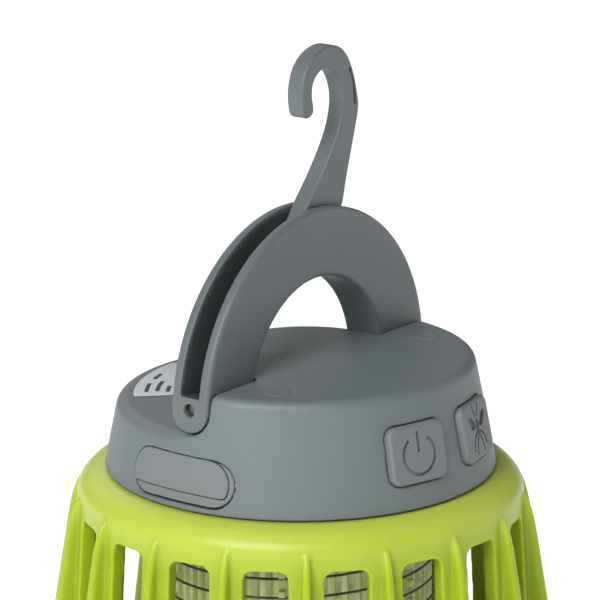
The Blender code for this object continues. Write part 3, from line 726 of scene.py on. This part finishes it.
def build_key(name, node, azimuth, body, icon):
    place = key_place(azimuth)
    size = [length - 2 * KEY_GAP for length in KEY_OPENING]
    face = rounded_rectangle(*size, KEY_CORNER - KEY_GAP)
    middle = place @ at(0, 0, (KEY_PROUD + KEY_BACK) / 2)
    key = extruded(name, face, KEY_PROUD - KEY_BACK, middle, KEY_EDGE)
    moulded(key, voxel=0.00011, rounds=2, keep=1.0)
    marks = icon(place @ at(0, 0, KEY_PROUD))
    for mark in marks:
        combine(key, [mark], "DIFFERENCE")
    inverse = place.inverted()
    key.data.materials.clear()
    for polygon in key.data.polygons:
        centre = inverse @ polygon.center
        inside = abs(centre.x) < ICON_REACH[0] and abs(centre.y) < ICON_REACH[1]
        sunk = KEY_BACK + 0.001 < centre.z < ICON_FLOOR + 0.00016
        polygon.material_index = 1 if inside and sunk else 0
    shaded(key, 40.0)
    finished(key, [KEY_GREY, ICON], body, [node])


# Charging port --------------------------------------------------------------------------------


def wall_layer(name, outer, inner, low, high):
    """A layer of the cap's cone between two depths under its wall."""
    profile = [(cap_wall_radius(low) - outer, low), (cap_wall_radius(high) - outer, high),
               (cap_wall_radius(high) - inner, high), (cap_wall_radius(low) - inner, low)]
    return lathe(name, profile, 256, ring=True)


def flap_outline(grow):
    """The flap: a D with its right end drawn in from the pill's, and a small corner below."""
    low, flap_low, high = port_levels()
    middle = (low + high) / 2
    radius = (high - low) / 2 - FLAP_GAP + grow
    reach = PORT_WIDTH / 2 - (high - low) / 2
    bottom = flap_low - grow
    drop = math.degrees(math.asin((middle - bottom) / radius))
    right = reach - FLAP_DRAWN_IN
    corners = [(x, y, 0.0) for x, y in arc((right, middle), radius, 12.0 - drop, 90.0, 16)]
    corners += [(x, y, 0.0) for x, y in arc((-reach, middle), radius, 90.0, 180.0 + drop, 20)]
    corners.append((right + radius * 0.86, bottom, 0.0016))
    return rounded(corners, True)


def build_port():
    low, _, high = port_levels()
    bottom = PORT_BOTTOM - 0.002
    top = PORT_TOP + 0.002
    layer = wall_layer("port_flap", 0.00005, 0.0012, bottom, top)
    flap = combine(layer, [extruded("flap_shape", flap_outline(0.0), 0.02, port_place())], "INTERSECT")
    moulded(flap, voxel=0.00012, rounds=2, keep=0.6)
    finished(flap, SOFT, "port_cover", ["usb_flap"])
    plate = wall_layer("port_plate", 0.0016, 0.0027, bottom, top)
    ledge = wall_layer("port_ledge", 0.00022, 0.0020, bottom, top)
    combine(ledge, [extruded("ledge_trim", flap_outline(FLAP_GAP), 0.02, port_place())], "DIFFERENCE")
    combine(plate, [ledge], "UNION")
    shape = pill(low + 0.0003, high - 0.0002, PORT_WIDTH - 0.0004)
    combine(plate, [extruded("plate_shape", shape, 0.02, port_place())], "INTERSECT")
    opening = rounded_rectangle(0.0084, 0.0034, 0.0010)
    slot = extruded("plate_slot", opening, 0.004, port_place(-0.0024))
    combine(plate, [slot], "DIFFERENCE")
    moulded(plate, voxel=0.00015, rounds=2, keep=0.5)
    finished(plate, SOFT, "lantern", ["usb_bezel"])


# Handle and hook ------------------------------------------------------------------------------


def build_handle():
    low = PIVOT_Z - 0.006
    outline = [(ARCH_OUTER[0], low)] + arc((0, ARCH_CENTRE_Z), ARCH_OUTER, 0.0, 180.0, 96)
    outline += [(-ARCH_OUTER[0], low), (-ARCH_INNER[0], low)]
    outline += arc((0, ARCH_CENTRE_Z), ARCH_INNER, 180.0, 0.0, 80) + [(ARCH_INNER[0], low)]
    handle = extruded("carry_handle", outline, HANDLE_THICKNESS, front_plane(PIVOT_Y), 0.0007)
    half = HANDLE_THICKNESS / 2
    section = arc((PIVOT_Y, PIVOT_Z), half, 180.0, 360.0, 24)
    section += [(PIVOT_Y + half + 0.001, JOIN + 0.05), (PIVOT_Y - half - 0.001, JOIN + 0.05)]
    combine(handle, [extruded("handle_section", section, 0.08, side_plane())], "INTERSECT")
    floor = (ARCH_INNER[0] + SLOT_FLOOR, ARCH_INNER[1] + SLOT_FLOOR)
    start = math.degrees(math.acos(SLOT_RIGHT_X / floor[0]))
    end = 180.0 - math.degrees(math.asin((SLOT_END_Z - SLOT_END_DROP - ARCH_CENTRE_Z) / floor[1]))
    slot = arc((0, ARCH_CENTRE_Z), floor, start, end, 48)
    slot += [(-0.034, SLOT_END_Z), (-0.034, JOIN + 0.05), (SLOT_RIGHT_X, JOIN + 0.05)]
    cutters = [extruded("hook_slot", slot, SLOT_WIDTH, front_plane(PIVOT_Y))]
    for side in (-1, 1):
        place = at(side * 0.024, PIVOT_Y, PIVOT_Z) @ Matrix.Rotation(math.pi / 2, 4, "Y")
        cutters.append(rod(f"leg_bore_{side}", PIN_HOLE_RADIUS, 0.016, place))
    place = at(HOOK_PIVOT[0], PIVOT_Y, HOOK_PIVOT[1]) @ Matrix.Rotation(math.pi / 2, 4, "X")
    cutters.append(rod("hook_pin_bore", HOOK_BORE_RADIUS, HANDLE_THICKNESS - 0.0014, place))
    combine(handle, cutters, "DIFFERENCE")
    moulded(handle, voxel=0.00020, rounds=3, keep=0.4)
    finished(handle, [GREY_HANDLE, SLOT_SHADE_GREY], "carry_handle", ["handle"])
    # faces inside the hook slot take the darker grey: painted shade in the slot
    for polygon in handle.data.polygons:
        centre = polygon.center
        level = centre.z - ARCH_CENTRE_Z
        under = math.hypot(centre.x / ARCH_OUTER[0], level / ARCH_OUTER[1]) < 0.972
        over = math.hypot(centre.x / ARCH_INNER[0], level / ARCH_INNER[1]) > 1.045
        inside = abs(centre.y - PIVOT_Y) < SLOT_WIDTH / 2 + 0.0001 and level > -0.001
        polygon.material_index = 1 if inside and under and over else 0


def hook_outline():
    back = [(0.0096, 0.0432), (0.0112, 0.0492), (0.0131, 0.0553)]
    crown = [(0.0140, 0.0590), (0.0135, 0.0621), (0.0125, 0.0653), (0.0112, 0.0678), (0.0093, 0.0697),
             (0.0068, 0.07054), (0.0042, 0.07036), (0.0016, 0.0693), (-0.0003, 0.0674), (-0.0012, 0.0652)]
    tip = [(-0.0015, 0.0628), (-0.0010, 0.0600), (0.0002, 0.0593), (0.0014, 0.0598), (0.0017, 0.0608)]
    curl = [(0.0013, 0.0632), (0.0018, 0.0652), (0.0036, 0.0667), (0.0059, 0.0668), (0.0079, 0.0655),
            (0.0092, 0.0633), (0.0097, 0.0608)]
    shank = [(0.0093, 0.0580), (0.0081, 0.0551), (0.0058, 0.0516), (0.0030, 0.0481), (0.0002, 0.0450),
             (-0.0018, 0.0424)]
    root = arc((HOOK_PIVOT[0], HOOK_PIVOT[1] - JOIN), 0.0043, 170.0, 330.0, 24)
    line = spline(back + crown + tip + curl + shank, 6) + root
    return [(p[0], JOIN + p[1]) for p in line]


def build_hook():
    hook = extruded("hanging_hook", hook_outline(), HOOK_THICKNESS, front_plane(PIVOT_Y), 0.0004)
    place = at(HOOK_PIVOT[0], PIVOT_Y, HOOK_PIVOT[1]) @ Matrix.Rotation(math.pi / 2, 4, "X")
    groove = [(0.0113, JOIN + 0.0660), (0.0124, JOIN + 0.06375), (0.0130, JOIN + 0.0596)]
    face = front_plane(PIVOT_Y - HOOK_THICKNESS / 2)
    nick = stroke("nail_groove", spline(groove, 6), 0.0007, 0.0012, face)
    combine(hook, [rod("hook_bore", HOOK_BORE_RADIUS, 0.006, place), nick], "DIFFERENCE")
    moulded(hook, voxel=0.00014, rounds=2, keep=0.6)
    finished(hook, GREY_HANDLE, "hanging_hook", ["hook"])


# Cage -----------------------------------------------------------------------------------------


def above(points):
    return [(point[0], JOIN + point[1], *point[2:]) for point in points]


def tapered_fin(name, section, place):
    """A fin that thins from its foot towards its head."""
    fin = extruded(name, section, FIN_THICKNESS, bevel=FIN_EDGE)
    for vertex in fin.data.vertices:
        vertex.co.z *= 1.0 - FIN_TAPER * (vertex.co.y - FIN_FOOT) / (FIN_HEAD - FIN_FOOT)
    fin.data.transform(place)
    return fin


def build_cage():
    outside = [(0.0282, -0.0001, 0.0), (0.0334, -0.0001, 0.0004), (0.0355, -0.0008, 0.0008),
               (0.0376, -0.0028, 0.0014), (0.0404, -0.0462, 0.0010), (0.0458, -0.0480, 0.0008),
               (COLLAR_RADIUS, -0.0492, 0.0006), (COLLAR_RADIUS, -0.0535, 0.0002)]
    inside = [(0.0432, -0.0535, 0.0002), (0.0432, -0.0500, 0.0004), (0.0382, -0.0478, 0.0008),
              (0.0351, -0.0045, 0.0010), (0.0334, -0.0024, 0.0006), (0.0282, -0.0024, 0.0)]
    profile = rounded(above(outside + inside), True, 4)
    cage = lathe("cage_moulding", profile, 180, ring=True)
    height = WINDOW_TOP - WINDOW_BOTTOM
    hole = rounded_rectangle(WINDOW_WIDTH, height, WINDOW_CORNER, 5)
    windows = []
    fins = []
    section = rounded(above([(0.0362, -0.0050, 0.0), (0.0368, -0.0029, 0.0), (0.0385, -0.0046, 0.0014),
                             (0.0397, -0.0082, 0.0030), (0.0461, -0.0474, 0.0006), (0.0458, -0.0492, 0.0),
                             (0.0392, -0.0475, 0.0)]), True, 4)
    for i in range(WINDOW_COUNT):
        azimuth = i * WINDOW_PITCH + WINDOW_TURN
        place = facing(azimuth, 0.037, (WINDOW_TOP + WINDOW_BOTTOM) / 2)
        windows.append(extruded(f"window_{i}", hole, 0.014, place))
        fins.append(tapered_fin(f"fin_{i}", section, radial_plane(azimuth + WINDOW_PITCH / 2)))
    combine(cage, [merged("windows", windows)], "DIFFERENCE")
    lugs = []
    for i in range(LUG_COUNT):
        azimuth = 2 * math.pi * i / LUG_COUNT + math.radians(30.0)
        place = facing(azimuth, 0.0430, JOIN - 0.0521)
        lugs.append(box(f"lug_{i}", (0.0040, 0.0012, 0.0018), place, 0.0002))
    cage = merged("cage_moulding", [cage, *fins, *lugs])
    moulded(cage, voxel=0.00028, rounds=2, keep=0.5)
    finished(cage, LIME, "lantern", ["cage"])


# Electrodes, tray and lamp --------------------------------------------------------------------


def helix(start_angle):
    points = []
    per_turn = 72
    for i in range(int(COIL_TURNS * per_turn) + 1):
        turn = i / per_turn
        centre = outward(start_angle - 2 * math.pi * turn) * COIL_RADIUS
        points.append((centre.x, centre.y, COIL_TOP - COIL_PITCH * turn))
    return points


def build_grid():
    coils = (("coil_live", "electrode_live", 0.0), ("coil_return", "electrode_return", math.pi))
    for name, node, start in coils:
        coil = shaded(wire(name, helix(start), WIRE_RADIUS), 60.0)
        finished(coil, WIRE, "lantern", [node])
    top = above([(GRID_RING_OUTER, -0.0059), (GRID_RING_OUTER, -0.0074),
                 (GRID_RING_INNER, -0.0074), (GRID_RING_INNER, -0.0059)])
    bottom = above([(0.0, -0.0462), (GRID_RING_OUTER, -0.0462), (GRID_RING_OUTER, -0.0478), (0.0, -0.0478)])
    pieces = [lathe("grid_carrier", top, 120, ring=True), lathe("grid_foot", bottom, 120)]
    for i in range(SLAT_COUNT):
        place = facing(2 * math.pi * i / SLAT_COUNT, SLAT_RADIUS, SLAT_MIDDLE)
        pieces.append(box(f"slat_{i}", (0.0009, SLAT_HEIGHT, 0.0010), place, 0.00015))
    for i in range(RAIL_COUNT):
        azimuth = 2 * math.pi * i / RAIL_COUNT
        place = facing(azimuth, 0.0223, SLAT_MIDDLE)
        pieces.append(box(f"rail_{i}", (0.0013, SLAT_HEIGHT, 0.0006), place, 0.0001))
        for row in range(TOOTH_ROWS):
            height = COIL_TOP + COIL_PITCH / 4 - COIL_PITCH * (i / RAIL_COUNT) - COIL_PITCH / 2 * row
            if TOOTH_LOW < height < TOOTH_HIGH:
                place = facing(azimuth, 0.0230, height)
                pieces.append(box(f"tooth_{i}_{row}", (0.0012, 0.0012, 0.0010), place, 0.0002))
    finished(shaded(merged("grid_former", pieces), 35.0), OLIVE, "lantern", ["grid_frame"])


def build_lamp():
    side = [(0.0, -0.0062), (0.0120, -0.0062), (0.0120, -0.0459), (0.0, -0.0459)]
    core = lathe("lamp_core", above(side), LAMP_SIDES)
    finished(shaded(core, 20.0), WHITE, "lantern", ["uv_core"])
    chips = []
    for i in range(LAMP_SIDES):
        azimuth = 2 * math.pi * (i + 0.5) / LAMP_SIDES
        for row in range(CHIP_ROWS):
            place = facing(azimuth, 0.0117, JOIN - 0.0120 - 0.0094 * row)
            chips.append(box(f"chip_{i}_{row}", (0.0030, 0.0030, 0.0008), place, 0.0002))
    finished(merged("lamp_chips", chips), PHOSPHOR, "lantern", ())
    tube = rounded(above([(0.0188, -0.0062, 0.0002), (0.0188, -0.0456, 0.0002), (0.0178, -0.0456, 0.0002),
                          (0.0178, -0.0062, 0.0002)]), True, 2)
    finished(shaded(lathe("lamp_tube", tube, 96, ring=True)), SMOKED, "lantern", ["uv_tube"])


def build_tray():
    profile = above([(0.0, -0.0040, 0), (0.0288, -0.0040, 0.0003), (0.0288, -0.0026, 0.0003),
                     (0.0306, -0.0026, 0.0003), (0.0306, -0.0056, 0.0006), (0.0, -0.0056, 0)])
    carrier = lathe("core_carrier", rounded(profile, False, 4), 128)
    finished(shaded(carrier), BLACK, "lantern", ["core_tray"])


# Lantern base ---------------------------------------------------------------------------------


def build_base():
    profile = rounded([(0.0, 0.0405, 0), (0.0404, 0.0405, 0.0008), (0.0404, 0.0462, 0.0004),
                       (0.0429, 0.0462, 0.0006), (0.0429, 0.0422, 0.0001), (COLLAR_RADIUS, 0.0422, 0.0005),
                       (COLLAR_RADIUS, 0.0400, 0.0008), (0.0450, 0.0365, 0.0006), (0.0415, 0.0365, 0.0004),
                       (0.0415, 0.0385, 0.0004), (0.0, 0.0385, 0)], False, 4)
    tray = lathe("base_collar", profile, 180)
    finished(shaded(tray), GREY, "base", ["base_tray"])
    outside = [(0.0412, 0.0382, 0.0003), (0.0411, 0.0300, 0.004), (0.0392, 0.0205, 0.004),
               (0.0350, 0.0118, 0.004), (0.0285, 0.0056, 0.0003)]
    inside = [(0.0270, 0.0070, 0.0003), (0.0334, 0.0130, 0.004), (0.0373, 0.0212, 0.004),
              (0.0390, 0.0302, 0.004), (0.0392, 0.0382, 0.0003)]
    shade = lathe("lamp_shade", rounded(outside + inside, True, 6), 180, ring=True)
    finished(shaded(shade), FROST, "base", ["diffuser"])
    foot = rounded([(0.0, 0.0085, 0), (0.0255, 0.0085, 0.0004), (0.0255, 0.0053, 0.0002),
                    (0.0288, 0.0053, 0.0005), (0.0288, 0.0038, 0.0006), (0.0268, 0.0014, 0.0005),
                    (0.0233, 0.0014, 0.0002), (0.0233, 0.0022, 0.0001), (0.0167, 0.0022, 0.0001),
                    (0.0167, 0.0014, 0.0002), (0.0, 0.0014, 0)], False, 4)
    finished(shaded(lathe("base_foot", foot, 128)), GREY, "base", ["bottom_cap"])
    ring = rounded([(0.0230, 0.0019, 0.0002), (0.0230, 0.0, 0.0004), (0.0170, 0.0, 0.0004),
                    (0.0170, 0.0019, 0.0002)], True, 4)
    finished(shaded(lathe("foot_ring", ring, 128, ring=True)), RUBBER, "base", ["rubber_foot"])


# Carried-over solids --------------------------------------------------------------------------


def repaint(material, *nodes):
    for node in nodes:
        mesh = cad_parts[node].data
        mesh.materials.clear()
        mesh.materials.append(material)


def repaint_nodes():
    repaint(BLACK, "power_switch", "zapper_switch", "hv_transformer")
    repaint(STEEL, "usb_socket", "tray_screw_1", "tray_screw_2", "tray_screw_3", "tray_screw_4")
    repaint(BOARD, "main_board")
    repaint(WRAP, "battery_cell", "hv_capacitor")
    repaint(BRASS, "handle_pin_left", "handle_pin_right", "hook_pin")
    repaint(BRASS, "contact_pin_inner", "contact_pin_outer", "contact_ring_inner", "contact_ring_outer")
    repaint(WHITE, "lamp_board")
    repaint(PHOSPHOR, *[f"lamp_led_{i}" for i in range(1, 7)])


# Studio ---------------------------------------------------------------------------------------


def build_camera():
    """Stand back from the line between cap and cage, then tip and roll to the photo's framing."""
    phi = CAMERA_AZIMUTH
    rise = CAMERA_RISE
    pitch = CAMERA_PITCH
    roll = CAMERA_ROLL
    ahead = Vector((math.sin(phi) * math.cos(rise), math.cos(phi) * math.cos(rise), -math.sin(rise)))
    place = Vector((0, 0, JOIN)) - CAMERA_DISTANCE * ahead
    right = Vector((math.cos(phi), -math.sin(phi), 0.0))
    up = right.cross(ahead)
    ahead, up = (ahead * math.cos(pitch) + up * math.sin(pitch),
                 up * math.cos(pitch) - ahead * math.sin(pitch))
    right, up = right * math.cos(roll) - up * math.sin(roll), up * math.cos(roll) + right * math.sin(roll)
    data = bpy.data.cameras.new("camera")
    data.lens = 240.0
    data.sensor_width = 36.0
    data.clip_start = 0.01
    data.clip_end = 20.0
    camera = bpy.data.objects.new("camera", data)
    camera.matrix_world = frame_matrix(right, up, -ahead, place)
    bpy.context.scene.collection.objects.link(camera)
    bpy.context.scene.camera = camera


def area_light(name, azimuth, elevation, distance, size, power):
    """A soft light aimed at the lantern, its azimuth counted as for the part and its size as two sides."""
    data = bpy.data.lights.new(name, "AREA")
    data.shape = "RECTANGLE"
    data.size, data.size_y = size
    data.energy = power
    a = math.radians(azimuth)
    e = math.radians(elevation)
    back = outward(a) * math.cos(e) + Vector((0, 0, math.sin(e)))
    light = bpy.data.objects.new(name, data)
    light.matrix_world = frame_matrix(*side_axes(back), Vector((0, 0, JOIN)) + back * distance)
    bpy.context.scene.collection.objects.link(light)


def side_axes(back):
    right = Vector((0, 0, 1)).cross(back).normalized()
    return right, back.cross(right), back


def build_studio():
    scene = bpy.context.scene
    scene.view_settings.view_transform = "Standard"
    world = bpy.data.worlds.new("studio")
    scene.world = world
    world.use_nodes = True
    background = world.node_tree.nodes["Background"]
    background.inputs["Color"].default_value = (1.0, 1.0, 1.0, 1.0)
    background.inputs["Strength"].default_value = 0.15
    mesh = bpy.data.meshes.new("floor")
    work = bmesh.new()
    bmesh.ops.create_circle(work, cap_ends=True, segments=96, radius=6.0)
    work.to_mesh(mesh)
    work.free()
    floor = new_object("floor", mesh)
    paper = Nodes("floor_paper")
    shade = paper.mix(paper.noise(6.0), rgb(0.30, 0.30, 0.30), rgb(0.32, 0.32, 0.32))
    paper.set(Base_Color=shade, Roughness=0.9)
    paper.shader.inputs["Emission Color"].default_value = (1.0, 1.0, 1.0, 1.0)
    paper.shader.inputs["Emission Strength"].default_value = 0.97
    mesh.materials.append(paper.material)
    area_light("key", -80.0, 38.0, 1.0, (0.6, 0.6), 9.8)
    area_light("fill", 60.0, 15.0, 1.4, (0.6, 0.9), 2.0)
    area_light("back", 150.0, 30.0, 1.4, (0.9, 0.9), 2.5)


build_cap()
build_label()
build_key("power_button", "power_key", -KEY_AZIMUTH, "power_button", power_icon)
build_key("zapper_button", "zapper_key", KEY_AZIMUTH, "zapper_button", insect_icon)
build_port()
build_handle()
build_hook()
build_cage()
build_grid()
build_lamp()
build_tray()
build_base()
repaint_nodes()
build_camera()
build_studio()
